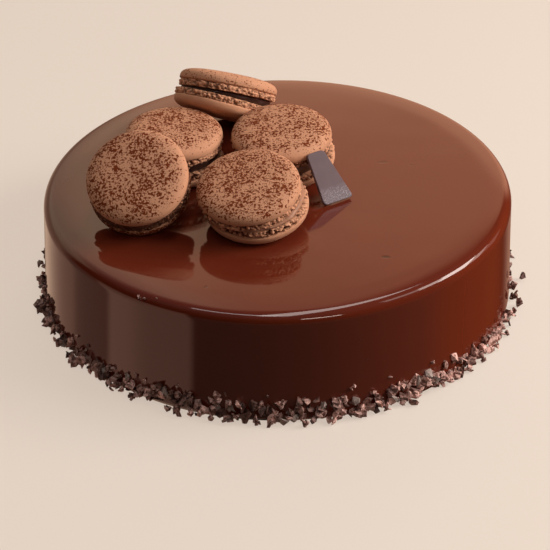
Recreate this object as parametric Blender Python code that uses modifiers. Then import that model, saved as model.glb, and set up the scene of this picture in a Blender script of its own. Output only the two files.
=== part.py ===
"""A glazed chocolate cake with five macarons and a plain plaque on top.

The cake is one solid with the cocoa nibs around its foot fused on. Every macaron is two shells
with a layer of ganache between them. Metres, +Z up, origin in the middle of the flat base, and
the front of the cake faces -Y.
"""
import math
import random

import bmesh
import bpy
from mathutils import Matrix, Vector, noise

MM = 0.001
GAP = 0.35 * MM                      # left between pieces that touch
SHARP = math.radians(38)             # edges bent by more than this stay crisp

# The cake
CAKE_RADIUS = 100 * MM
CAKE_HEIGHT = 48.4 * MM              # on the axis
TOP_SLOPE = 0.0144                   # the top climbs this much per metre towards +X
EDGE_RADIUS = 4.8 * MM               # rounding of the glaze at the top edge
EDGE_STEPS = 5
BULGE = 1.6 * MM                     # how far the side swells out on the left
CAKE_SIDES = 64

# The macarons
DOME_HEIGHT = 5.3 * MM
DOME_ROUND = 4.0                     # the dome is a squashed superellipse: exponent along the
DOME_SHOULDER = 3.0                  # radius, and exponent along its height
DOME_RINGS = (0.0, 0.45, 0.72, 0.88, 0.97, 1.0)
FOOT_HEIGHT = 3.6 * MM
FOOT_INSET = 0.5 * MM                # the foot stands back from the widest part of the dome
FOOT_TAPER = 0.2 * MM                # the foot narrows by this much towards its lower edge
FOOT_CHAMFER = 0.8 * MM
RUFFLE = 0.9 * MM                    # how far the foot wanders in and out
RUFFLE_GRAIN = 260                   # waves per metre of the wandering
GANACHE_INSET = 1.9 * MM
GANACHE_SOFTNESS = 0.3 * MM          # rounding of the filling's edge
MACARON_SIDES = 30

# Where each macaron lies: middle of its filling, lean from upright and the heading it leans
# towards, radius, distance between the widest rings of its shells, and then how much wider the
# filling opens towards one heading (gape) and how far the top shell has slipped. The heights
# are worked out: each macaron is let down until it meets the glaze.
MACARONS = (
    dict(at=(-56.2, -30.8), lean=33.3, heading=-102, radius=20.9, spread=9.9,
         gape=4.2, opens=78, slip=1.0, slips=-38),
    dict(at=(-44.3, 9.2), lean=3.0, heading=-44, radius=20.9, spread=10.8,
         gape=1.9, opens=-45, slip=0.2, slips=134),
    dict(at=(2.5, 7.8), lean=7.1, heading=-110, radius=21.4, spread=10.1,
         gape=4.4, opens=-112, slip=1.4, slips=141),
    dict(at=(-9.9, -34.6), lean=13.0, heading=-113, radius=21.2, spread=9.6,
         gape=2.2, opens=63, slip=2.6, slips=-169),
    dict(at=(-23.4, 43.8), lean=32.9, heading=67, radius=21.9, spread=9.5,
         gape=3.6, opens=15, slip=0.9, slips=15),
)

# The plaque that leans on the third macaron
PLAQUE_FOOT = 14.6 * MM              # width along its lower edge
PLAQUE_HEAD = 8.4 * MM               # width along its upper edge
PLAQUE_TALL = 22.5 * MM
PLAQUE_THICK = 1.6 * MM
PLAQUE_CORNER = 1.6 * MM             # rounding of its four corners
PLAQUE_EDGE = 0.25 * MM              # bevel all round both faces
PLAQUE_AT = (19.8 * MM, -24.1 * MM)  # its lower left corner
PLAQUE_HEADING = 33                  # which way its lower edge runs
PLAQUE_LEAN = 38.5                   # from upright

# The nibs around the foot of the cake, in tiers from the lowest up: how many, the height range
# of their middles and their length from end to end, in millimetres
NIB_TIERS = (
    dict(count=106, height=(2.0, 2.8), size=(5.8, 7.8)),
    dict(count=88, height=(4.8, 7.4), size=(5.0, 7.2)),
    dict(count=14, height=(8.5, 15.0), size=(3.2, 4.8)),
)
NIB_POINTS = 9                       # corners of one nib, before it is wrapped
NIB_SLIMNESS = (0.65, 0.95)          # width against length
NIB_FLATNESS = (0.55, 0.85)          # thickness against length
NIB_TIP = 0.7                        # how far a nib tips, in radians
NIB_BITE = (0.5, 1.1)                # how deep a nib sinks into the glaze, in millimetres
NIB_CLEAR = 0.15 * MM                # the nibs stay this far above the surface under the cake
NIB_SEED = 11

# Colours: red, green, blue, then roughness
GLAZE = (0.075, 0.018, 0.010, 0.06)
SHELL = (0.46, 0.235, 0.140, 0.62)
GANACHE = (0.055, 0.022, 0.014, 0.30)
PLAQUE = (0.13, 0.085, 0.085, 0.45)


def clear_scene():
    for obj in list(bpy.data.objects):
        bpy.data.objects.remove(obj)


def new_collection(name):
    collection = bpy.data.collections.new(name)
    bpy.context.scene.collection.children.link(collection)
    return collection


def material(name, values):
    red, green, blue, roughness = values
    made = bpy.data.materials.new(name)
    made.use_nodes = True
    shader = made.node_tree.nodes["Principled BSDF"]
    shader.inputs["Base Color"].default_value = (red, green, blue, 1.0)
    shader.inputs["Roughness"].default_value = roughness
    shader.inputs["Metallic"].default_value = 0.0
    made.diffuse_color = (red, green, blue, 1.0)
    return made


def new_object(name, mesh, collection, mat=None):
    obj = bpy.data.objects.new(name, mesh)
    collection.objects.link(obj)
    if mat:
        mesh.materials.append(mat)
    return obj


def mesh_from(build, name):
    """A mesh that build(bm) has filled."""
    mesh = bpy.data.meshes.new(name)
    bm = bmesh.new()
    build(bm)
    bm.to_mesh(mesh)
    bm.free()
    return mesh


def turned(name, outline, sides, collection):
    """The mesh of an (r, z) outline turned about Z by a Screw modifier."""
    mesh = bpy.data.meshes.new(name)
    points = [(r, 0.0, z) for r, z in outline]
    mesh.from_pydata(points, [(i, i + 1) for i in range(len(points) - 1)], [])
    obj = new_object(name, mesh, collection)
    screw = obj.modifiers.new("turn", "SCREW")
    screw.steps = sides
    screw.render_steps = sides
    screw.use_merge_vertices = True
    screw.merge_threshold = 0.00001
    graph = bpy.context.evaluated_depsgraph_get()
    solid = bpy.data.meshes.new_from_object(obj.evaluated_get(graph))
    solid.name = name
    bpy.data.objects.remove(obj)
    bpy.data.meshes.remove(mesh)
    return solid


def polar(distance, degrees):
    angle = math.radians(degrees)
    return Vector((distance * math.cos(angle), distance * math.sin(angle), 0.0))


def leaning(lean, heading):
    """The turn that tips +Z by lean degrees towards a heading."""
    side = polar(1.0, heading + 90)
    return Matrix.Rotation(math.radians(lean), 4, side)


def glaze_height(x):
    return CAKE_HEIGHT + TOP_SLOPE * x


def set_down(holder, lowest_piece):
    """Lower or raise a holder until its lowest piece just clears the glaze."""
    bpy.context.view_layer.update()
    points = [lowest_piece.matrix_world @ v.co for v in lowest_piece.data.vertices]
    holder.location.z += GAP - min(point.z - glaze_height(point.x) for point in points)


# ---------------------------------------------------------------- the cake

def cake_outline():
    """From the middle of the top, over the rounded edge and down the side, to the base."""
    centre = (CAKE_RADIUS - EDGE_RADIUS, CAKE_HEIGHT - EDGE_RADIUS)
    points = [(0.0, CAKE_HEIGHT)]
    for step in range(EDGE_STEPS + 1):
        angle = math.pi / 2 * (1 - step / EDGE_STEPS)
        points.append((centre[0] + EDGE_RADIUS * math.cos(angle),
                       centre[1] + EDGE_RADIUS * math.sin(angle)))
    for part in (0.66, 0.33, 0.0):
        points.append((CAKE_RADIUS, part * CAKE_HEIGHT))
    points.append((0.0, 0.0))
    return points


def settle(co):
    """Where a point of the turned cake lies on the real, slightly leaning one."""
    up = co.z / CAKE_HEIGHT
    left = max(0.0, -co.x / CAKE_RADIUS)
    swell = BULGE * left * left * math.sin(math.pi * min(1.0, up)) * co.xy.length / CAKE_RADIUS
    outward = Vector((co.x, co.y, 0.0)).normalized()
    return co + outward * swell + Vector((0.0, 0.0, up * TOP_SLOPE * co.x))


def shard(bm, rng, size):
    """One angular nib: the hull of a few points strewn over a flattened ball."""
    length = rng.uniform(*size) / 2 * MM
    slim = rng.uniform(*NIB_SLIMNESS)
    flat = rng.uniform(*NIB_FLATNESS)
    turn = Matrix.Rotation(rng.uniform(0, math.tau), 3, "Z")
    tip = Matrix.Rotation(rng.uniform(-NIB_TIP, NIB_TIP), 3, "X")
    for _ in range(NIB_POINTS):
        direction = Vector(rng.gauss(0, 1) for _ in range(3)).normalized()
        point = Vector((direction.x, direction.y * slim, direction.z * flat))
        bm.verts.new(turn @ tip @ point * length)
    hull = bmesh.ops.convex_hull(bm, input=bm.verts)
    inner = [v for v in hull["geom_interior"] if isinstance(v, bmesh.types.BMVert)]
    bmesh.ops.delete(bm, geom=inner, context="VERTS")
    bmesh.ops.recalc_face_normals(bm, faces=bm.faces)


def press_on(mesh, around, height, bite):
    """Move a nib to the side of the cake, so that it bites into it and clears the floor."""
    outward = polar(1.0, around)
    wall = settle(outward * CAKE_RADIUS + Vector((0, 0, height)))
    innermost = min(v.co.dot(outward) for v in mesh.vertices)
    lowest = min(v.co.z for v in mesh.vertices)
    place = outward * (wall.dot(outward) - innermost - bite)
    place.z = max(height, NIB_CLEAR - lowest)
    mesh.transform(Matrix.Translation(place))


def scatter_nibs(collection):
    rng = random.Random(NIB_SEED)
    for tier, spec in enumerate(NIB_TIERS):
        step = 360 / spec["count"]
        for index in range(spec["count"]):
            around = step * (index + 0.5 * tier + rng.uniform(-0.3, 0.3))
            mesh = mesh_from(lambda bm: shard(bm, rng, spec["size"]), "nib")
            press_on(mesh, around, rng.uniform(*spec["height"]) * MM,
                     rng.uniform(*NIB_BITE) * MM)
            new_object(f"nib_{tier}_{index}", mesh, collection)


def keep_largest_body(mesh):
    """Drop any nib that touches nothing, so that the cake is one closed body."""
    bm = bmesh.new()
    bm.from_mesh(mesh)
    unseen = set(bm.verts)
    bodies = []
    while unseen:
        body = {unseen.pop()}
        edge = list(body)
        while edge:
            near = {e.other_vert(v) for v in edge for e in v.link_edges} & unseen
            unseen -= near
            body |= near
            edge = list(near)
        bodies.append(body)
    largest = max(bodies, key=len)
    loose = [v for v in bm.verts if v not in largest]
    bmesh.ops.delete(bm, geom=loose, context="VERTS")
    bmesh.ops.triangulate(bm, faces=bm.faces)
    bm.to_mesh(mesh)
    bm.free()


def make_cake(parts, cutters):
    mesh = turned("cake", cake_outline(), CAKE_SIDES, parts)
    for vertex in mesh.vertices:
        vertex.co = settle(vertex.co)
    cake = new_object("cake", mesh, parts, material("glaze", GLAZE))
    scatter_nibs(cutters)
    union = cake.modifiers.new("nibs", "BOOLEAN")
    union.operation = "UNION"
    union.operand_type = "COLLECTION"
    union.collection = cutters
    union.solver = "MANIFOLD"
    graph = bpy.context.evaluated_depsgraph_get()
    joined = bpy.data.meshes.new_from_object(cake.evaluated_get(graph))
    cake.modifiers.clear()
    cake.data = joined
    bpy.data.meshes.remove(mesh)
    joined.name = "cake"
    for obj in list(cutters.objects):
        bpy.data.objects.remove(obj)
    keep_largest_body(joined)
    joined.shade_smooth()
    joined.set_sharp_from_angle(angle=SHARP)


# ---------------------------------------------------------------- the macarons

def shell_outline(radius):
    """Dome from its top to the widest ring, then the foot down to its flat underside."""
    points = []
    for ring in DOME_RINGS:
        rise = (1 - ring ** DOME_ROUND) ** (1 / DOME_SHOULDER)
        points.append((ring * radius, DOME_HEIGHT * rise))
    foot = radius - FOOT_INSET
    points.append((foot, -0.25 * FOOT_HEIGHT))
    points.append((foot - FOOT_TAPER, -0.85 * FOOT_HEIGHT))
    points.append((foot - FOOT_CHAMFER, -FOOT_HEIGHT))
    points.append((0.0, -FOOT_HEIGHT))
    return points


def ruffle(co, radius, seed):
    """Push a point of the foot in or out. The dome and the middle of the underside stay."""
    if co.z > -FOOT_TAPER or co.xy.length < radius / 2:
        return co
    wander = noise.noise(co * RUFFLE_GRAIN + Vector((seed * 7.3, 0.0, 0.0)))
    outward = Vector((co.x, co.y, 0.0)).normalized()
    return co + outward * RUFFLE * wander


def make_shell(name, radius, seed, parts, mat, parent):
    mesh = turned(name, shell_outline(radius), MACARON_SIDES, parts)
    for vertex in mesh.vertices:
        vertex.co = ruffle(vertex.co, radius, seed)
    mesh.shade_smooth()
    mesh.set_sharp_from_angle(angle=SHARP)
    shell = new_object(name, mesh, parts, mat)
    shell.parent = parent
    return shell


def make_filling(name, radius, thickness, gape, opens, parts, mat, parent):
    """A soft disc whose two faces follow the shells, so it is a wedge where they gape."""
    rim = radius - GANACHE_INSET
    inner = rim - GANACHE_SOFTNESS
    outline = ((0.0, 0.5), (inner, 0.5), (rim, 0.2), (rim, -0.2), (inner, -0.5), (0.0, -0.5))
    mesh = turned(name, outline, MACARON_SIDES, parts)
    towards = polar(1.0, opens)
    slope = math.tan(math.radians(gape))
    for vertex in mesh.vertices:
        along = vertex.co.x * towards.x + vertex.co.y * towards.y
        vertex.co.z *= thickness + slope * along
    mesh.shade_smooth()
    mesh.set_sharp_from_angle(angle=SHARP)
    ganache = new_object(name, mesh, parts, mat)
    ganache.parent = parent
    return ganache


def make_macaron(number, spec, parts, shell_mat, ganache_mat):
    name = f"macaron_{number}"
    radius = spec["radius"] * MM
    spread = spec["spread"] * MM
    holder = bpy.data.objects.new(name, None)
    parts.objects.link(holder)
    slip = polar(spec["slip"] * MM / 2, spec["slips"] - spec["heading"])
    opens = spec["opens"] - spec["heading"]
    half_gape = leaning(spec["gape"] / 2, opens + 180)
    top = make_shell(name + "_top_shell", radius, 2 * number, parts, shell_mat, holder)
    top.matrix_local = Matrix.Translation(slip + Vector((0, 0, spread / 2))) @ half_gape
    bottom = make_shell(name + "_bottom_shell", radius, 2 * number + 1, parts, shell_mat, holder)
    upside_down = Matrix.Rotation(math.pi, 4, "X")
    bottom.matrix_local = (Matrix.Translation(-slip - Vector((0, 0, spread / 2)))
                           @ half_gape.inverted() @ upside_down)
    thickness = spread - 2 * FOOT_HEIGHT - 2 * GAP
    make_filling(name + "_ganache", radius, thickness, spec["gape"], opens, parts,
                 ganache_mat, holder)
    middle = Vector((spec["at"][0] * MM, spec["at"][1] * MM, CAKE_HEIGHT))
    turn = leaning(spec["lean"], spec["heading"]) @ Matrix.Rotation(
        math.radians(spec["heading"]), 4, "Z")
    holder.matrix_world = Matrix.Translation(middle) @ turn
    set_down(holder, bottom)


# ---------------------------------------------------------------- the plaque

def make_plaque(parts):
    """A thin tapered plate with rounded corners, standing on its wide edge."""
    def build(bm):
        bmesh.ops.create_cube(bm, size=1.0)
        for v in bm.verts:
            width = PLAQUE_HEAD if v.co.z > 0 else PLAQUE_FOOT
            v.co = Vector(((v.co.x + 0.5) * width, (v.co.y + 0.5) * PLAQUE_THICK,
                           (v.co.z + 0.5) * PLAQUE_TALL))
        through = [e for e in bm.edges
                   if abs(e.verts[0].co.y - e.verts[1].co.y) > PLAQUE_THICK / 2]
        bmesh.ops.bevel(bm, geom=through, offset=PLAQUE_CORNER, segments=4, profile=0.5,
                        affect="EDGES", material=-1)
    plaque = new_object("plaque", mesh_from(build, "plaque"), parts, material("plaque", PLAQUE))
    rim = plaque.modifiers.new("soft edge", "BEVEL")
    rim.width = PLAQUE_EDGE
    rim.segments = 1
    back = PLAQUE_HEADING + 90
    corner = Vector((*PLAQUE_AT, CAKE_HEIGHT))
    plaque.matrix_world = (Matrix.Translation(corner) @ leaning(PLAQUE_LEAN, back)
                           @ Matrix.Rotation(math.radians(PLAQUE_HEADING), 4, "Z"))
    set_down(plaque, plaque)


def main():
    clear_scene()
    parts = new_collection("macaron_cake")
    cutters = new_collection("nibs")
    make_cake(parts, cutters)
    shell_mat = material("macaron shell", SHELL)
    ganache_mat = material("ganache", GANACHE)
    for number, spec in enumerate(MACARONS, start=1):
        make_macaron(number, spec, parts, shell_mat, ganache_mat)
    make_plaque(parts)


main()
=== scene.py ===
"""Looks of a glazed chocolate cake with five macarons, a plain plaque and a ring of cocoa nibs.

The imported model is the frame. The cake's solid is replaced by a smooth glaze and loose nibs,
each macaron shell by one with a porous ruffled foot, and each filling by a softer one. Metres.
"""
import math
import random

import bmesh
import bpy
from mathutils import Euler, Matrix, Vector, noise


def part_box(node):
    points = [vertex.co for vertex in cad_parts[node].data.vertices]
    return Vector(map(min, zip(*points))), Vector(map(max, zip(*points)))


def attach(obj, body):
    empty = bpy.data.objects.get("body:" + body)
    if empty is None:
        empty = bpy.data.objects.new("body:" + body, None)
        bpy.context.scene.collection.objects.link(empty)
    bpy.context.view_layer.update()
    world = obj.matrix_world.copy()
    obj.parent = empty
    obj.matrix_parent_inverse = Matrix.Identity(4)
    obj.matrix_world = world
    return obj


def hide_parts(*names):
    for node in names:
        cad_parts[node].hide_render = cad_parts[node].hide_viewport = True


MM = 0.001
BODY = "root"

# The cake, as in the solids
CAKE_RADIUS = 100 * MM
CAKE_HEIGHT = 48.4 * MM
TOP_SLOPE = 0.0144                   # the top climbs towards +X
FLARE = 3.1 * MM                     # how far the side runs out from the top to the foot
FLARE_START = 0.95                   # where that begins, as a share of the height
FLARE_CURVE = 1.1                    # over 1: it runs out more towards the foot
EDGE_RADIUS = 4.8 * MM
SHOULDER_START = 84 * MM             # where the flat top begins to fall towards the edge
SHOULDER_DROP = 0.5 * MM
GLAZE_SIDES = 288
GLAZE_RING = 1.25 * MM               # spacing of the rings on the top
EDGE_STEPS = 18
EDGE_START = 82                      # degrees above the horizon where the rounded edge begins
SIDE_STEPS = 28
UNDERCUT = 0.4 * MM                  # how far the underside stays inside the wall
GLAZE_WAVE = 0.05 * MM               # height of the slow unevenness of the glaze
GLAZE_WAVES = ((22, 1.0), (60, 0.5))     # its scales and their shares
LIP_HEIGHT = 0.6 * MM                # how far the glaze climbs where a macaron stands in it
LIP_REACH = 3.2 * MM
# Small dents in the top, darkened with painted shade: x, y, half length, half width in mm, turn in
# degrees, depth (of the dent and of its painted shade)
DENTS = ((42.8, -61.1, 2.6, 1.4, -6, 1.0), (46.3, 14.4, 3.4, 1.6, 4, 0.5),
         (58.5, 11.5, 1.6, 1.0, 0, 0.3), (-27.5, -80.5, 1.7, 1.0, 50, 0.5))

# The macarons, as in the solids
FOOT_HEIGHT = 3.6 * MM
DOME_ROUND, DOME_SHOULDER = 4.0, 3.0     # powers of its rounded outline, across and up
SHELL_RADIUS = 21.3 * MM             # of the blank that every shell is made from
SHELL_DOME = 5.3 * MM
SHELL_SIDES = 400
DOME_STEPS = 18
# The lip under the dome, as (inset, drop) in mm
SHELL_LIP = ((0.06, 0.20), (0.28, 0.42), (0.70, 0.58), (1.00, 0.72))
FOOT_TOP = 0.85 * MM                 # where the foot begins, under the lip
FOOT_BOTTOM = 0.12 * MM              # and how far above the underside it ends
FOOT_INSET = 0.70 * MM               # of its ends; its middle stands out by FOOT_SWELL
FOOT_SWELL = 0.30 * MM
FOOT_STEPS = 12
FOOT_FROM = 0.65 * MM                # below this, and outside this share of the radius, is foot
FOOT_INSIDE = 0.85
# The relief of the foot: holes, frills, crumbs and pores, with their scales and sizes in mm
HOLE_SCALE = 360
HOLE_DEPTH = 1.1 * MM
FRILL_SCALE, FRILL_SIZE = 300, 0.45
CRUMB_SCALE, CRUMB_SIZE = 680, 1.5
PORE_SCALE, PORE_SIZE = 1500, 0.5
RELIEF_LIMIT = 0.8 * MM              # how far the foot stands out at most
PROUD = 0.62 * MM                    # relief above this gets no painted shade in a foot painted as shaded
SHELL_SWELL = 0.3 * MM               # the slow unevenness of a shell
RIPPLE = 0.12 * MM                   # and the finer one near its rim
FILLING_SIDES = 160
FILLING_LEVELS = 7
FILLING_INSET = 2.6 * MM             # from the shell's radius to the filling, before it bulges
FILLING_GRIP = 0.05 * MM             # how far it reaches into each foot
MACARONS = range(1, 6)
# For each top shell: how thick the cocoa dust is, the heading it lies towards, how far it reaches
# and how much of the dome's side it leaves bare
DUSTING = {1: (1.02, 170, 1.24, 0.6 * MM), 2: (0.98, 110, 1.25, 0.8 * MM),
           3: (1.02, 95, 1.27, 0.8 * MM), 4: (1.02, 185, 1.36, 0.8 * MM),
           5: (0.54, 160, 1.40, -1.5 * MM)}
# The same for each bottom shell; macaron 1's heavy dust there is partly cocoa and partly painted
# shade for the shadow beneath it
UNDERSIDES = {1: (1.5, 0, 1.6, -2.0 * MM), 2: (0.2, 0, 1.2, 0.0), 3: (0.2, 0, 1.2, 0.0),
              4: (0.2, 0, 1.2, 0.0), 5: (0.2, 0, 1.2, 0.0)}
# The feet of each: painted shade at least all over and at most in the pits, and how wide their
# larger holes are; macaron 1's foot is painted as in shade
FEET = {1: (0.86, 1.0, 0.0), 2: (0.0, 1.0, 0.16), 3: (0.0, 1.0, 0.16), 4: (0.0, 1.0, 0.16),
        5: (0.0, 0.75, 0.18)}
# How pale each filling is, 0 being a near-black painted shade for the shadowed gap between the
# shells, and how many mm it bulges
FILLINGS = {1: (0.1, 0.9), 2: (0.0, 0.9), 3: (0.3, 1.2), 4: (1.0, 2.0), 5: (0.0, 0.8)}

# Nibs: a heap all round the foot of the cake, as (share of its width, how many, their sizes)
NIB_SEED = 5
NIB_HEAP_HEIGHT = 9.2 * MM
NIB_HEAP_WIDTH = 3.8 * MM
NIB_LAYERS = ((1.0, 330, (1.9 * MM, 3.2 * MM)), (0.5, 260, (2.0 * MM, 3.3 * MM)),
              (0.1, 240, (2.0 * MM, 3.2 * MM)))
NIBS_ON_WALL = 24
NIB_WIDTH = (0.60, 0.90)             # as shares of a nib's length
NIB_THICKNESS = (0.40, 0.68)
NIB_CORNERS, CROOK_CORNERS = 10, 8
CROOKED = 0.65                       # share of the nibs that have a second shard
HUSKS = 0.06                         # share of the nibs that are grey husk
HEAP_CROWDING = 1.15                 # over 1: more nibs lie low than high
HEAP_SLOPE = 0.8                     # under 1: the heap's outer slope bulges
CRUMB_DARKNESS = 1.5                 # a power on their tones
# At a heading: how high the heap is and how many of its nibs lie there, as shares, and how dark
# they are, as a power on their tones: painted light at the right front, painted shade at the left
# front
HEAP = ((-180, 0.25, 0.35, 1.0), (-162, 0.30, 0.60, 0.9), (-148, 0.50, 0.90, 1.0),
        (-128, 0.85, 1.00, 1.25), (-112, 1.00, 1.00, 1.3), (-90, 1.00, 1.00, 1.1),
        (-72, 1.00, 1.00, 0.70), (-58, 1.00, 1.00, 0.40), (-45, 1.00, 1.00, 0.40),
        (-33, 0.65, 0.80, 0.45), (-23, 0.25, 0.40, 0.6), (-6, 0.10, 0.15, 1.0),
        (25, 0.30, 0.50, 1.0), (60, 0.75, 0.95, 1.0), (130, 0.70, 0.90, 1.0),
        (180, 0.25, 0.35, 1.0))
# Nibs that lie a little way off, as (heading, distance from the wall in mm)
LOOSE_NIBS = ((7, 4.5), (-3, 6.0), (-14, 5.0), (-17, 3.5), (-26, 4.2), (172, 3.6), (196, 4.2),
              (-60, 4.6), (-111, 4.8), (-128, 4.6))

# Crumbs stuck in the glaze: heading, height, distance from the wall, half size in mm
CRUMBS = ((-122.0, 46.0, -0.1, 1.2), (-120.6, 46.4, -0.2, 0.8), (-117.7, 47.7, -1.0, 0.55),
          (-45.0, 48.6, -33.1, 0.5), (-12.1, 48.6, -27.8, 0.4), (-21.9, 48.5, -2.9, 0.35),
          (-70.0, 24.3, 0.0, 0.35), (-71.7, 34.3, 0.0, 0.35))

# The light that comes from each part of the room
WORLD = {"wall": (1.30, 0.72, 0.44), "pane": (0.28, 0.28, 0.21),
         "left": (0.50, 0.255, 0.178), "corner": (0.10, 0.13, 0.09),
         "front": (0.40, 0.220, 0.158), "right": (0.21, 0.03, 0.002), "side": (0.38, 0.19, 0.125),
         "above": (0.01, 0.04, 0.05), "below": (0.05, 0.045, 0.035)}
# Where the parts of the room begin or end, as the x, y or z of a direction, or as its turn from
# the front towards the right, in radians: nothing at the first number, all of it at the second
EDGES = {
    "back": (0.2, 0.8), "horizon": (-0.20, 0.05), "low": (0.15, -0.15), "ground": (0.0, -0.12),
    "ground_right": (1.2, 1.7), "deep": (-0.15, -0.45), "above": (0.5, 0.8),
    "wall_left": (-0.33, -0.02), "wall_corner": (0.90, 0.76), "wall_dim": (0.43, 0.50),
    "wall_dimmer": (0.51, 0.60), "wall_end": (2.60, 2.42), "wall_end_from": (0.0, 0.1),
    "left": (-0.08, -0.40), "left_from": (-1.81, -2.06), "left_top": (0.70, 0.58),
    "left_far": (-0.75, -0.45), "corner": (-2.10, -2.75),
    "front_top": (0.22, 0.08), "front_right": (-0.66, -0.74), "front_left": (-1.98, -1.82),
    "front_step": (-1.56, -1.47), "front_middle": (-1.05, -1.35),
    "right": (1.2, 1.6), "right_end": (2.65, 2.15), "right_top": (0.55, 0.40),
    "side": (2.42, 2.72), "pane": (-0.03, -0.15), "pane_low": (0.2, 0.4),
}
# Each lamp: its two ends, its width, its power and its colour
LAMPS = {
    "strip_fade": ((0.93, 0.44, 0.18), (0.88, 0.27, 0.39), 0.20, 0.10, (1.0, 0.62, 0.52)),
    "strip_start": ((0.88, 0.27, 0.39), (0.825, 0.17, 0.51), 0.24, 0.30, (1.0, 0.76, 0.68)),
    "strip": ((0.825, 0.17, 0.51), (0.72, 0.005, 0.68), 0.30, 1.85, (1.0, 0.86, 0.79)),
    "strip_fall": ((0.72, 0.005, 0.68), (0.64, -0.10, 0.76), 0.26, 0.48, (1.0, 0.84, 0.76)),
    "strip_end": ((0.64, -0.10, 0.76), (0.50, -0.25, 0.84), 0.20, 0.18, (1.0, 0.84, 0.76)),
    "overhead": ((-0.06, -0.52, 1.15), (0.33, 0.71, 1.15), 0.22, 2.5, (1.0, 0.89, 0.84)),
    "tail": ((-0.52, -0.23, 1.15), (-0.02, -0.41, 1.15), 0.12, 0.5, (1.0, 0.95, 0.95)),
    "glint": ((0.14, -0.83, 0.555), (0.40, -0.75, 0.54), 0.06, 0.35, (1.0, 0.80, 0.70)),
    "key": ((0.80, -0.35, 0.50), (0.88, 0.25, 0.50), 0.50, 8.6, (1.0, 0.94, 0.88)),
    "fill": ((-0.70, -0.45, 0.62), (-0.75, 0.15, 0.62), 0.40, 0.25, (1.0, 0.76, 0.62)),
    "front_high": ((-0.20, -0.72, 0.80), (0.25, -0.72, 0.80), 0.30, 0.50, (1.0, 0.78, 0.64)),
    "back_left": ((-0.70, 0.25, 0.70), (-0.40, 0.65, 0.70), 0.30, 0.25, (1.0, 0.84, 0.74)),
}
# These light the cake but don't mirror in its glaze
SOFT_LAMPS = ("key", "fill", "front_high", "back_left")

# The view: a 95 mm lens on a 36 mm sensor, 34 degrees above the horizon
CAMERA_AT = (-0.98 * MM, -539.3 * MM, 363.96 * MM)
CAMERA_PITCH = 34.082
CAMERA_LENS = 94.909


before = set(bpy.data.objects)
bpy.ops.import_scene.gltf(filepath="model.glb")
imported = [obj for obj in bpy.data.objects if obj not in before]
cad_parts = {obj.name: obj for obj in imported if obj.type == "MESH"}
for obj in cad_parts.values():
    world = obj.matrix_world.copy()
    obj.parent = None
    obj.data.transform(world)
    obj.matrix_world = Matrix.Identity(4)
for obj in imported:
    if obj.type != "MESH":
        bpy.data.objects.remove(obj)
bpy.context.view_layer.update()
PLAQUE_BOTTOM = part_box("plaque")[0].z


# ---------------------------------------------------------------- shader maths

class Value:
    """A number or a colour in a material. Arithmetic on it adds the nodes that work it out."""

    def __init__(self, paint, socket):
        self.paint = paint
        self.socket = socket

    def maths(self, operation, *others):
        settings = {"operation": operation}
        return self.paint.node("ShaderNodeMath", settings, dict(enumerate((self, *others))))

    def __add__(self, other):
        return self.maths("ADD", other)

    __radd__ = __add__

    def __sub__(self, other):
        return self.maths("SUBTRACT", other)

    def __rsub__(self, other):
        settings = {"operation": "SUBTRACT"}
        return self.paint.node("ShaderNodeMath", settings, {0: other, 1: self})

    def __mul__(self, other):
        return self.maths("MULTIPLY", other)

    __rmul__ = __mul__

    def ramp(self, start, end, low=0.0, high=1.0):
        """low below start, high above end, and a smooth step between them."""
        settings = {"interpolation_type": "SMOOTHSTEP"}
        return self.paint.node("ShaderNodeMapRange", settings, {
            "Value": self, "From Min": start, "From Max": end, "To Min": low, "To Max": high})


class Paint:
    """One node tree, with short ways to add nodes to it."""

    def __init__(self, tree):
        self.tree = tree
        self.tree.nodes.clear()

    def node(self, kind, settings=None, inputs=None, output=0):
        made = self.tree.nodes.new(kind)
        for name, value in (settings or {}).items():
            setattr(made, name, value)
        for name, value in (inputs or {}).items():
            socket = made.inputs[name]
            if isinstance(value, Value):
                self.tree.links.new(value.socket, socket)
            elif isinstance(value, tuple) and socket.type == "RGBA":
                socket.default_value = (*value, 1.0)
            else:
                socket.default_value = value
        return Value(self, made.outputs[output]) if made.outputs else None

    def place(self):
        return self.node("ShaderNodeTexCoord", output="Object")

    def noise(self, where, scale, detail=2.0, roughness=0.5):
        return self.node("ShaderNodeTexNoise", None, {
            "Vector": where, "Scale": scale, "Detail": detail, "Roughness": roughness})

    def cells(self, where, scale):
        return self.node("ShaderNodeTexVoronoi", None, {"Vector": where, "Scale": scale})

    def attribute(self, name):
        return self.node("ShaderNodeAttribute", {"attribute_name": name}, output="Fac")

    def mix(self, low, high, amount):
        """A colour between two colours."""
        return self.node("ShaderNodeMix", {"data_type": "RGBA"}, {0: amount, 6: low, 7: high}, 2)

    def bump(self, height, distance, strength):
        return self.node("ShaderNodeBump", None, {
            "Height": height, "Distance": distance, "Strength": strength})


def new_material(name, build):
    """A Principled material: build(paint) returns the values of its sockets."""
    made = bpy.data.materials.new(name)
    made.use_nodes = True
    paint = Paint(made.node_tree)
    surface = paint.node("ShaderNodeBsdfPrincipled", None, build(paint))
    paint.node("ShaderNodeOutputMaterial", None, {"Surface": surface})
    return made


# ---------------------------------------------------------------- materials

def dent(paint, where, x, y, long, wide, turn):
    """1 in the middle of an oval mark in the glaze, 0 outside it. Millimetres and degrees."""
    local = paint.node("ShaderNodeMapping", {"vector_type": "TEXTURE"}, {
        "Vector": where, "Location": (x * MM, y * MM, 0.0),
        "Rotation": (0.0, 0.0, math.radians(turn)), "Scale": (long * MM, wide * MM, 1.0)})
    far = paint.node("ShaderNodeVectorMath", {"operation": "LENGTH"}, {0: local}, "Value")
    return far.ramp(1.0, 0.2)


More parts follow.
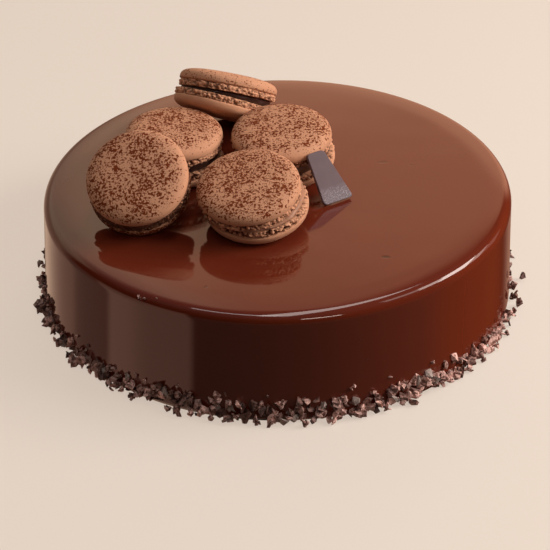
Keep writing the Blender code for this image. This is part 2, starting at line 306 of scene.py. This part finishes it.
def glaze_look(paint):
    """Mirror glaze: near-black mahogany under a clear gloss, with slow waves and a few dents that
    are darkened with painted shade.
    """
    where = paint.place()
    waves = paint.noise(where, 16, 2.0)
    clouds = paint.noise(where, 45, 3.0)
    dents_and_shade = sum(dent(paint, where, *place) * depth for *place, depth in DENTS)
    colour = paint.mix((0.123, 0.0192, 0.0080), (0.141, 0.0222, 0.0093), clouds)
    return {
        # Painted shade: the dents are darkened to near black.
        "Base Color": paint.mix(colour, (0.02, 0.004, 0.002), dents_and_shade * 0.8),
        "Roughness": 0.06,
        "IOR": 1.8,
        "Normal": paint.bump(waves - dents_and_shade * 0.4, 0.0004, 0.25),
    }


def shell_look(paint):
    """Baked almond shell: matte tan, with cocoa specks dusted over the dome."""
    where = paint.place()
    dust = paint.attribute("dust")
    foot = paint.attribute("foot")
    pit_shade = paint.attribute("pit_shade")
    mottle = paint.noise(where, 90, 4.0, 0.6)
    skin = paint.mix((0.56, 0.280, 0.163), (0.66, 0.340, 0.203), mottle)
    patches = paint.noise(where, 190, 3.0).ramp(0.36, 0.64, 0.70, 1.16)
    thick = dust * patches
    field = paint.noise(where, 1060, 2.0, 0.5) + (0.165 - 0.30 * paint.cells(where, 880))
    blots = (field - (0.755 - 0.215 * thick)).ramp(-0.012, 0.022)
    grains = (paint.noise(where, 1900, 1.0) - (0.740 - 0.170 * thick)).ramp(-0.01, 0.03)
    powder = blots.maths("MAXIMUM", grains * 0.8) * dust.ramp(0.02, 0.2)
    cocoa = paint.mix((0.125, 0.020, 0.005), (0.22, 0.048, 0.013), paint.noise(where, 400))
    domed = paint.mix(skin, cocoa, powder)
    crumb = paint.mix((0.86, 0.47, 0.29), (0.46, 0.205, 0.110), paint.noise(where, 900))
    # Painted shade: near black in the pits of the foot, where its relief sinks in.
    shaded_foot = paint.mix(crumb, (0.075, 0.022, 0.010), pit_shade)
    height = paint.noise(where, 2600, 2.0) * 0.15 + powder * 0.5
    return {
        "Base Color": paint.mix(domed, shaded_foot, foot),
        "Roughness": powder.ramp(0.0, 1.0, 0.56, 0.85),
        "IOR": 1.3,
        "Normal": paint.bump(height, 0.00022, 0.7),
    }


def ganache_look(paint):
    """Soft ganache: near-black painted shade in most of them, for the shadowed gap between the
    shells, and pale brown where it is lit.
    """
    where = paint.place()
    pale = paint.attribute("pale")
    streaks = paint.noise(where, 160, 3.0)
    # Painted shade: this near-black stands in for the shadowed gap between the shells.
    dark = paint.mix((0.022, 0.008, 0.006), (0.055, 0.024, 0.018), streaks)
    lit_ganache = paint.mix((0.34, 0.165, 0.095), (0.46, 0.240, 0.150), streaks)
    return {
        "Base Color": paint.mix(dark, lit_ganache, pale),
        "Roughness": 0.36,
        "IOR": 1.47,
        "Normal": paint.bump(streaks, 0.0004, 0.5),
    }


def nib_look(paint):
    """Roasted cocoa: dark, purple to pinkish brown, each nib its own tone, with painted light and
    shade by where it lies round the cake.
    """
    where = paint.place()
    tone_and_painted_light = paint.attribute("tone_and_painted_light")
    husk = paint.attribute("husk")
    broken = paint.attribute("facet").ramp(0.58, 0.88)
    rough = paint.noise(where, 480, 4.0, 0.65)
    dark = paint.mix((0.022, 0.008, 0.006), (0.24, 0.105, 0.080), tone_and_painted_light)
    light = paint.mix((0.100, 0.040, 0.030), (0.95, 0.60, 0.52), tone_and_painted_light)
    flesh = paint.mix(dark, light, rough.ramp(0.43, 0.57))
    flesh = paint.mix(flesh, (0.90, 0.56, 0.49), broken * (0.12 + 0.62 * tone_and_painted_light))
    skin = paint.mix((0.20, 0.150, 0.132), (0.50, 0.40, 0.355), rough)
    return {
        "Base Color": paint.mix(flesh, skin, husk),
        "Roughness": rough.ramp(0.3, 0.7, 0.30, 0.55),
        "IOR": 1.5,
        "Normal": paint.bump(rough, 0.0007, 0.7),
    }


def plaque_look(paint):
    """Matte dark chocolate, with silver shimmer dust over its lower end."""
    where = paint.place()
    film = paint.noise(where, 220, 4.0)
    low = paint.node("ShaderNodeSeparateXYZ", None, {0: where}, output=2)
    dusted = low.ramp(PLAQUE_BOTTOM + 7.0 * MM, PLAQUE_BOTTOM + 3.0 * MM)
    flakes = paint.cells(where, 2200).ramp(0.36, 0.2) * dusted
    body = paint.mix((0.105, 0.068, 0.078), (0.150, 0.100, 0.112), film)
    frosted = paint.mix(body, (0.22, 0.185, 0.205), dusted * 0.6)
    return {
        "Base Color": paint.mix(frosted, (0.72, 0.70, 0.76), flakes),
        "Roughness": dusted.ramp(0.0, 1.0, 0.42, 0.34),
        "Metallic": flakes * 0.7,
        "Normal": paint.bump(flakes, 0.00015, 0.8),
    }


# ---------------------------------------------------------------- making pieces

def polar(distance, degrees):
    angle = math.radians(degrees)
    return Vector((distance * math.cos(angle), distance * math.sin(angle), 0.0))


def add_piece(name, bm, mat, slot, *nodes, smooth=True):
    """Turn a bmesh into a piece of the object that stands for these solids."""
    mesh = bpy.data.meshes.new(name)
    bm.to_mesh(mesh)
    bm.free()
    mesh.materials.append(mat)
    if smooth:
        mesh.shade_smooth()
    piece = bpy.data.objects.new(name, mesh)
    bpy.context.scene.collection.objects.link(piece)
    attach(piece, BODY)
    if nodes:
        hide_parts(*nodes)
    return piece


def spun(outline, sides):
    """A closed bmesh turned about Z from (r, z) points that run from pole to pole."""
    bm = bmesh.new()
    verts = [bm.verts.new((r, 0.0, z)) for r, z in outline]
    edges = [bm.edges.new(pair) for pair in zip(verts, verts[1:])]
    bmesh.ops.spin(bm, geom=verts + edges, cent=(0, 0, 0), axis=(0, 0, 1), angle=math.tau,
                   steps=sides, use_merge=True)
    bmesh.ops.remove_doubles(bm, verts=bm.verts, dist=0.00001)
    bmesh.ops.recalc_face_normals(bm, faces=bm.faces)
    return bm


# ---------------------------------------------------------------- the glaze

def glaze_top(x):
    return CAKE_HEIGHT + TOP_SLOPE * x


def settle(co):
    """Where a point of the turned cake lies on the real, slightly leaning one."""
    up = co.z / CAKE_HEIGHT
    flare = FLARE * max(0.0, 1.0 - up / FLARE_START) ** FLARE_CURVE / CAKE_RADIUS
    return co + Vector((co.x * flare, co.y * flare, up * TOP_SLOPE * co.x))


def shoulder(r):
    """How far the top has fallen at this radius, before the rounded edge."""
    along = max(0.0, (r - SHOULDER_START) / (CAKE_RADIUS - EDGE_RADIUS - SHOULDER_START))
    return SHOULDER_DROP * along ** 3


def glaze_outline():
    points = [(0.0, CAKE_HEIGHT)]
    flat = CAKE_RADIUS - EDGE_RADIUS
    rings = int(flat / GLAZE_RING)
    for ring in range(1, rings):
        r = flat * ring / rings
        points.append((r, CAKE_HEIGHT - shoulder(r)))
    edge = EDGE_RADIUS - SHOULDER_DROP
    start = math.radians(EDGE_START)
    for step in range(EDGE_STEPS + 1):
        angle = start * (1 - step / EDGE_STEPS)
        points.append((flat + EDGE_RADIUS * math.cos(angle),
                       CAKE_HEIGHT - SHOULDER_DROP - edge + edge * math.sin(angle)))
    for step in range(1, SIDE_STEPS):
        points.append((CAKE_RADIUS, (CAKE_HEIGHT - EDGE_RADIUS) * (1 - step / SIDE_STEPS)))
    points.append((CAKE_RADIUS - UNDERCUT, 0.0))
    points.append((0.0, 0.0))
    return points


def standing_points():
    """Where each macaron meets the glaze: the lowest point of its bottom shell."""
    points = []
    for number in MACARONS:
        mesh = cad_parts[f"macaron_{number}_bottom_shell"].data
        points.append(min((v.co for v in mesh.vertices), key=lambda co: co.z - glaze_top(co.x)))
    return points


def make_glaze(mat):
    bm = spun(glaze_outline(), GLAZE_SIDES)
    feet = standing_points()
    for v in bm.verts:
        co = settle(v.co)
        if co.z > CAKE_HEIGHT / 3:
            wave = sum(share * noise.noise(co * scale) for scale, share in GLAZE_WAVES)
            co += Vector((0, 0, GLAZE_WAVE * wave))
            for foot in feet:
                near = (co.xy - foot.xy).length / LIP_REACH
                co.z += LIP_HEIGHT * math.exp(-near * near)
        v.co = co
    return add_piece("glaze", bm, mat, "glaze", "cake")


# ---------------------------------------------------------------- the nibs

def shard(bm, rng, middle, reach, corners):
    """Add the hull of a few random corners."""
    verts = []
    for _ in range(corners):
        way = Vector(rng.gauss(0, 1) for _ in range(3)).normalized()
        way = Vector(w * r for w, r in zip(way, reach)) * rng.uniform(0.85, 1.12)
        verts.append(bm.verts.new(middle + way))
    hull = bmesh.ops.convex_hull(bm, input=verts)
    inside = [v for v in hull["geom_interior"] if isinstance(v, bmesh.types.BMVert)]
    bmesh.ops.delete(bm, geom=inside, context="VERTS")


def nib(rng, size, darkness):
    """One crooked piece of cocoa bean round the origin: two shards that share a middle."""
    bm = bmesh.new()
    tone_and_painted_light, husk = (bm.verts.layers.float.new(name) for name in ("tone_and_painted_light", "husk"))
    reach = Vector((size, size * rng.uniform(*NIB_WIDTH), size * rng.uniform(*NIB_THICKNESS)))
    shard(bm, rng, Vector(), reach, NIB_CORNERS)
    if rng.random() < CROOKED:
        side = Vector((reach.x * rng.uniform(-0.5, 0.5), reach.y * rng.uniform(-0.5, 0.5),
                       reach.z * rng.uniform(0.3, 0.9)))
        crook = Vector((reach.y, reach.z, reach.x)) * rng.uniform(0.6, 0.85)
        shard(bm, rng, side, crook, CROOK_CORNERS)
    turn = Euler([rng.uniform(0, math.tau) for _ in range(3)]).to_matrix()
    bmesh.ops.rotate(bm, verts=bm.verts, cent=(0, 0, 0), matrix=turn)
    bmesh.ops.recalc_face_normals(bm, faces=bm.faces)
    # The power paints light on the nibs at the right front and shade on those at the left front.
    tone = rng.betavariate(0.7, 1.15) ** darkness
    grey = 1.0 if rng.random() < HUSKS else 0.0
    for v in bm.verts:
        v[tone_and_painted_light] = tone
        v[husk] = grey
    facet = bm.faces.layers.float.new("facet")
    for f in bm.faces:
        f[facet] = rng.random()
    return bm


def heap_at(around):
    """How high, how full and how dark the heap is at a heading; the darkness is painted light and
    shade.
    """
    around = (around + 180) % 360 - 180
    for (start, *low), (end, *high) in zip(HEAP, HEAP[1:]):
        if around <= end:
            part = (around - start) / (end - start)
            return [a + (b - a) * part for a, b in zip(low, high)]


def heaped(rng, depth, share):
    """A height and a distance from the wall: the outer slope of the heap, or deeper in it."""
    up = rng.random() ** HEAP_CROWDING
    height = NIB_HEAP_HEIGHT * share * up * rng.uniform(0.85, 1.1)
    out = NIB_HEAP_WIDTH * (1 - up) ** HEAP_SLOPE * depth
    return height, out


def make_nibs(mat):
    rng = random.Random(NIB_SEED)
    places = []
    for depth, count, size in NIB_LAYERS:
        for index in range(count):
            around = 360 * (index + rng.uniform(-0.8, 0.8)) / count
            share, full, darkness = heap_at(around)
            height, out = heaped(rng, depth * rng.uniform(0.8, 1.05), share)
            if rng.random() < full:
                places.append((around, height, out, rng.uniform(*size), darkness))
    for _ in range(NIBS_ON_WALL):
        around = rng.uniform(0, 360)
        height = NIB_HEAP_HEIGHT * heap_at(around)[0] + rng.uniform(0, 5.5) * MM
        places.append((around, height, 0.2 * MM, rng.uniform(0.9, 1.8) * MM, 1.0))
    for around, out in LOOSE_NIBS:
        places.append((around, 0.0, out * MM, rng.uniform(1.6, 2.6) * MM, 1.0))
    for around, height, out, size in CRUMBS:
        places.append((around, height * MM, out * MM, size * MM, CRUMB_DARKNESS))
    heap = bmesh.new()
    single = bpy.data.meshes.new("nib")
    for around, height, out, size, darkness in places:
        bm = nib(rng, size, darkness)
        lowest = min(v.co.z for v in bm.verts)
        middle = settle(polar(CAKE_RADIUS, around) + Vector((0, 0, height)))
        middle += polar(out, around)
        middle.z = max(height, 0.1 * MM - lowest)
        bmesh.ops.translate(bm, vec=middle, verts=bm.verts)
        bm.to_mesh(single)
        bm.free()
        heap.from_mesh(single)
    bpy.data.meshes.remove(single)
    return add_piece("cocoa_nibs", heap, mat, "glaze", smooth=False)


# ---------------------------------------------------------------- the macarons

def shell_frame(name):
    """A shell's own axes and size, read from its solid.

    Its flat underside gives the axis, and the rings give the middle and the radius. The matrix
    has its origin in the widest ring and +Z out of the dome.
    """
    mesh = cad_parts[name].data
    widest = max(mesh.polygons, key=lambda p: p.area).normal.copy()
    axis = Vector((0, 0, 0))
    for p in mesh.polygons:
        if p.normal.dot(widest) > 0.9999:
            axis -= p.normal * p.area
    axis.normalize()
    points = {tuple(round(c, 6) for c in v.co) for v in mesh.vertices}
    points = [Vector(p) for p in points]
    middle = sum(points, Vector()) / len(points)
    underside = min(p.dot(axis) for p in points)
    middle += axis * (underside + FOOT_HEIGHT - middle.dot(axis))
    dome = max(p.dot(axis) for p in points) - underside - FOOT_HEIGHT
    rim = [p for p in points if abs((p - middle).dot(axis)) < 0.2 * MM]
    radius = sum((p - middle).length for p in rim) / len(rim)
    matrix = Matrix.Translation(middle) @ axis.to_track_quat("Z", "Y").to_matrix().to_4x4()
    return matrix, radius, dome


def shell_outline():
    """From the top of the dome over its lip, in to the crease, down the foot, to the underside."""
    radius, dome = SHELL_RADIUS, SHELL_DOME
    points = []
    for step in range(DOME_STEPS + 1):
        angle = math.pi / 2 * step / DOME_STEPS
        points.append((radius * math.sin(angle) ** (2 / DOME_ROUND),
                       dome * math.cos(angle) ** (2 / DOME_SHOULDER)))
    for inset, drop in SHELL_LIP:
        points.append((radius - inset * MM, -drop * MM))
    top, bottom = -FOOT_TOP, FOOT_BOTTOM - FOOT_HEIGHT
    for step in range(FOOT_STEPS + 1):
        share = step / FOOT_STEPS
        points.append((radius - FOOT_INSET + FOOT_SWELL * math.sin(math.pi * share),
                       top + (bottom - top) * share))
    points += [(radius - 1.7 * MM, -FOOT_HEIGHT), (radius - 4.0 * MM, -FOOT_HEIGHT),
               (0.0, -FOOT_HEIGHT)]
    return points


def foot_relief(co, seed, holes):
    """How far a point of the foot stands out: frills, crumbs and pores, and some larger holes."""
    where = co + Vector((seed * 0.037, 0, 0))
    if noise.voronoi(where * HOLE_SCALE)[0][0] < holes:
        return -HOLE_DEPTH
    frill = noise.noise(Vector((where.x, where.y, where.z * 0.5)) * FRILL_SCALE)
    crumbs = 0.50 - noise.voronoi(where * CRUMB_SCALE)[0][0]
    pores = noise.noise(where * PORE_SCALE)
    relief = (FRILL_SIZE * frill + CRUMB_SIZE * crumbs + PORE_SIZE * pores) * MM
    return max(-HOLE_DEPTH, min(RELIEF_LIMIT, relief))


def make_shell(name, blank, seed, mat, feet, dusting):
    """Fit a copy of the blank to one of the solids, and bake it: dust, frills, crumbs and pores,
    with painted shade in the pits of the foot.
    """
    foot_shade, deepest, holes = feet
    dust_and_shade_amount, heading, reach, bare = dusting
    matrix, radius, dome = shell_frame(name)
    bm = blank.copy()
    stretch = radius / SHELL_RADIUS
    bmesh.ops.scale(bm, vec=(stretch, stretch, 1), verts=bm.verts)
    bmesh.ops.scale(bm, vec=(1, 1, dome / SHELL_DOME), verts=[v for v in bm.verts if v.co.z > 0])
    dust, foot, pit_shade = (bm.verts.layers.float.new(n) for n in ("dust", "foot", "pit_shade"))
    dusted = matrix.to_3x3().inverted() @ polar(radius * 0.2, heading)
    for v in bm.verts:
        co = v.co.copy()
        outward = Vector((co.x, co.y, 0.0)).normalized()
        along = co.xy.length / radius
        if co.z > -0.5 * MM:
            away = (co.xy - dusted.xy).length / radius
            edge = max(0.0, min(1.0, 3.2 * (reach - away)))
            # Dust; under macaron 1 it also stands in as painted shade.
            v[dust] = dust_and_shade_amount * edge * max(0.0, min(1.0, (co.z - bare) / (1.6 * MM)))
        swell = noise.noise(co * 55 + Vector((seed, 0, 0))) * SHELL_SWELL
        if co.z < -FOOT_FROM and along > FOOT_INSIDE:
            relief = foot_relief(co, seed, holes)
            relief *= 1 - 0.35 * abs(2 * co.z / FOOT_HEIGHT + 1.2) ** 3     # less at its ends
            v[foot] = 1.0
            # Painted shade: a shaded foot is darkened all over except its proudest relief, and
            # every foot's pits are darkened where the relief sinks in.
            shade_here = foot_shade if relief < PROUD else 0.0
            v[pit_shade] = max(shade_here, min(1.0, (0.1 * MM - relief) / (0.45 * MM)) * deepest)
            co += outward * relief
            if co.z > 0.4 * MM - FOOT_HEIGHT:
                co.z += 0.3 * MM * noise.noise(v.co * 600 + Vector((0, seed, 0)))
        else:
            co += outward * swell * along
            if co.z > -0.5 * MM:
                ripple = noise.noise(v.co * 170 + Vector((0, 0, seed)))
                co.z += swell * 0.4 + RIPPLE * ripple * along ** 6
        v.co = co
    bm.transform(matrix)
    return add_piece(name + "_baked", bm, mat, "macaron_shell", name)


def make_filling(number, mat):
    """Piped ganache that fills the gap between the two feet and bulges unevenly."""
    name = f"macaron_{number}_ganache"
    lit_ganache, fullness = FILLINGS[number]
    top, radius, _ = shell_frame(f"macaron_{number}_top_shell")
    bottom, _, _ = shell_frame(f"macaron_{number}_bottom_shell")
    bm = bmesh.new()
    pale = bm.verts.layers.float.new("pale")
    rings = []
    bottom_up = bottom @ Matrix.Rotation(math.pi, 4, "X")
    around_top = top.to_3x3().inverted() @ (bottom_up.to_3x3() @ Vector((1, 0, 0)))
    twist = math.atan2(around_top.y, around_top.x)
    for level in range(FILLING_LEVELS):
        share = level / (FILLING_LEVELS - 1)
        ring = []
        for side in range(FILLING_SIDES):
            angle = math.tau * side / FILLING_SIDES
            bulge = math.sin(math.pi * share) ** 0.6
            where = Vector((math.cos(angle), math.sin(angle), share * 0.35))
            lumps = noise.noise(where * 5 + Vector((number * 3.1, 0, 0)))
            reach = radius - FILLING_INSET + (bulge * fullness + lumps * 0.5) * MM
            low = bottom_up @ Vector((reach * math.cos(angle), reach * math.sin(angle),
                                      FOOT_HEIGHT - FILLING_GRIP))
            high = top @ Vector((reach * math.cos(angle + twist), reach * math.sin(angle + twist),
                                 FILLING_GRIP - FOOT_HEIGHT))
            ring.append(bm.verts.new(low.lerp(high, share)))
        rings.append(ring)
    loops = []
    for ring in rings:
        loops.append([bm.edges.new((a, b)) for a, b in zip(ring, ring[1:] + ring[:1])])
    for low, high in zip(loops, loops[1:]):
        bmesh.ops.bridge_loops(bm, edges=low + high)
    for loop in (loops[0], loops[-1]):
        bmesh.ops.contextual_create(bm, geom=loop)
    for v in bm.verts:
        v[pale] = lit_ganache
    bmesh.ops.recalc_face_normals(bm, faces=bm.faces)
    return add_piece(name + "_piped", bm, mat, "ganache", name)


# ---------------------------------------------------------------- light, floor and camera

def make_world():
    """A dim room: a warm wall behind, a paler one at the left, a low light area at the front."""
    world = bpy.data.worlds.new("studio")
    bpy.context.scene.world = world
    world.use_nodes = True
    paint = Paint(world.node_tree)
    way = paint.node("ShaderNodeTexCoord", output="Generated")
    x, y, z = (paint.node("ShaderNodeSeparateXYZ", None, {0: way}, output=i) for i in range(3))
    around = paint.node("ShaderNodeMath", {"operation": "ARCTAN2"}, {0: x, 1: 0.0 - y})

    def edge(value, name):
        return value.ramp(*EDGES[name])

    back, horizon, low, deep = edge(y, "back"), edge(z, "horizon"), edge(z, "low"), edge(z, "deep")
    # The wall behind is dimmer towards the top, and ends before the right
    wall = back * edge(x, "wall_left") * horizon * edge(x + z, "wall_corner")
    wall = wall * (1.0 - 0.33 * edge(z, "wall_dim") - 0.22 * edge(z, "wall_dimmer"))
    wall = wall * (1.0 - edge(around, "wall_end") * edge(x, "wall_end_from"))
    # The left is brightest low down, and the corner beside it is greener
    left = edge(x, "left") * edge(around, "left_from") * edge(z, "left_top")
    left = left * (0.80 + 0.45 * deep * edge(x, "left_far"))
    corner = left * (edge(around, "corner") * low + 1.15 * (1.0 - low))
    left = left * (0.6 + 0.4 * low)
    # The front is in two steps, and brightest deep down in its middle
    front = edge(z, "front_top") * edge(around, "front_right")
    front = front * (0.31 * edge(around, "front_left") + 0.69 * edge(around, "front_step"))
    front = front * (1.0 + 0.4 * deep * edge(around, "front_middle"))
    room = {
        "wall": wall, "left": left, "corner": corner, "front": front,
        "pane": edge(x, "pane") * back * edge(z, "pane_low"),
        "right": edge(around, "right") * edge(around, "right_end") * edge(z, "right_top"),
        "side": edge(around, "side") * edge(z, "ground"),
        "above": edge(z, "above"),
        "below": edge(z, "ground") * (1.0 - 0.75 * edge(around, "ground_right")),
    }
    channels = [sum((WORLD[name][c] * part for name, part in room.items()), 0.0)
                for c in range(3)]
    colour = paint.node("ShaderNodeCombineColor", None, dict(enumerate(channels)))
    shader = paint.node("ShaderNodeBackground", None, {"Color": colour})
    paint.node("ShaderNodeOutputWorld", None, {"Surface": shader})


def lamp_between(name, start, end, width, power, colour):
    """A strip of light from start to end that faces the middle of the cake."""
    lamp = bpy.data.lights.new(name, "AREA")
    lamp.shape = "RECTANGLE"
    start, end = Vector(start), Vector(end)
    lamp.size, lamp.size_y = (end - start).length, width
    lamp.energy = power
    lamp.color = colour
    obj = bpy.data.objects.new(name, lamp)
    bpy.context.scene.collection.objects.link(obj)
    middle = (start + end) / 2
    along = (end - start).normalized()
    back = middle - Vector((0, 0, CAKE_HEIGHT))
    back = (back - along * back.dot(along)).normalized()
    obj.matrix_world = (Matrix.Translation(middle)
                        @ Matrix((along, back.cross(along), back)).transposed().to_4x4())
    obj.visible_glossy = name not in SOFT_LAMPS


def make_lights():
    for name, lamp in LAMPS.items():
        lamp_between(name, *lamp)


def floor_look(paint):
    where = paint.place()
    cloud = paint.noise(where, 4, 2.0)
    return {"Base Color": paint.mix((0.235, 0.212, 0.185), (0.25, 0.225, 0.197), cloud),
            "Roughness": 0.6,
            "Emission Color": (0.56, 0.475, 0.405),
            "Emission Strength": 1.0}


def make_floor():
    """A plain pale floor, which the glaze doesn't mirror and which throws no light back on it."""
    bm = bmesh.new()
    bmesh.ops.create_grid(bm, x_segments=1, y_segments=1, size=6.0)
    mesh = bpy.data.meshes.new("floor")
    bm.to_mesh(mesh)
    bm.free()
    mesh.materials.append(new_material("floor", floor_look))
    floor = bpy.data.objects.new("floor", mesh)
    bpy.context.scene.collection.objects.link(floor)
    floor.visible_glossy = False
    floor.visible_diffuse = False


def make_camera():
    camera = bpy.data.cameras.new("camera")
    camera.sensor_width = 36
    camera.lens = CAMERA_LENS
    obj = bpy.data.objects.new("camera", camera)
    bpy.context.scene.collection.objects.link(obj)
    obj.location = CAMERA_AT
    obj.rotation_euler = (math.radians(90 - CAMERA_PITCH), 0, 0)
    bpy.context.scene.camera = obj
    bpy.context.scene.view_settings.view_transform = "Standard"


def main():
    make_camera()
    make_world()
    make_lights()
    make_floor()
    make_glaze(new_material("glaze", glaze_look))
    make_nibs(new_material("cocoa_nibs", nib_look))
    baked = new_material("macaron_shell", shell_look)
    ganache = new_material("ganache", ganache_look)
    blank = spun(shell_outline(), SHELL_SIDES)
    for number in MACARONS:
        name = f"macaron_{number}"
        make_shell(name + "_top_shell", blank, number * 2, baked, FEET[number], DUSTING[number])
        make_shell(name + "_bottom_shell", blank, number * 2 + 1, baked, FEET[number],
                   UNDERSIDES[number])
        make_filling(number, ganache)
    blank.free()
    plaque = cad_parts["plaque"]
    plaque.data.materials.clear()
    plaque.data.materials.append(new_material("plaque", plaque_look))


main()
